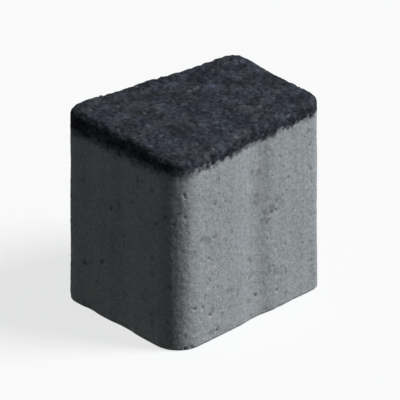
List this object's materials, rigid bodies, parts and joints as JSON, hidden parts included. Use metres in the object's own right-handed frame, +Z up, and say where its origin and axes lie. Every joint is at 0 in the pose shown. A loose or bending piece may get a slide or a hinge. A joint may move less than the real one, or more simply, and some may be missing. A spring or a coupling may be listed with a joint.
{
  "type": "concrete paver",
  "caption": "Small cobble-like concrete paver: tapered outline, shallow upright hollows in its sides, rounded corners and upper edge, dark textured top face and pale grey sides.",
  "frame": {"origin": "on the bed face, at the middle of the paver's outer size in plan", "axes": "+X along the row that the paver is laid in, +Y from its wide side to its narrow side, +Z up, from the bed face to the walked face"},
  "size_m": [0.0658, 0.08, 0.08],
  "materials": {
    "concrete": "matte"
  },
  "bodies": {
    "root": {"paver": "concrete"}
  },
  "joints": []
}
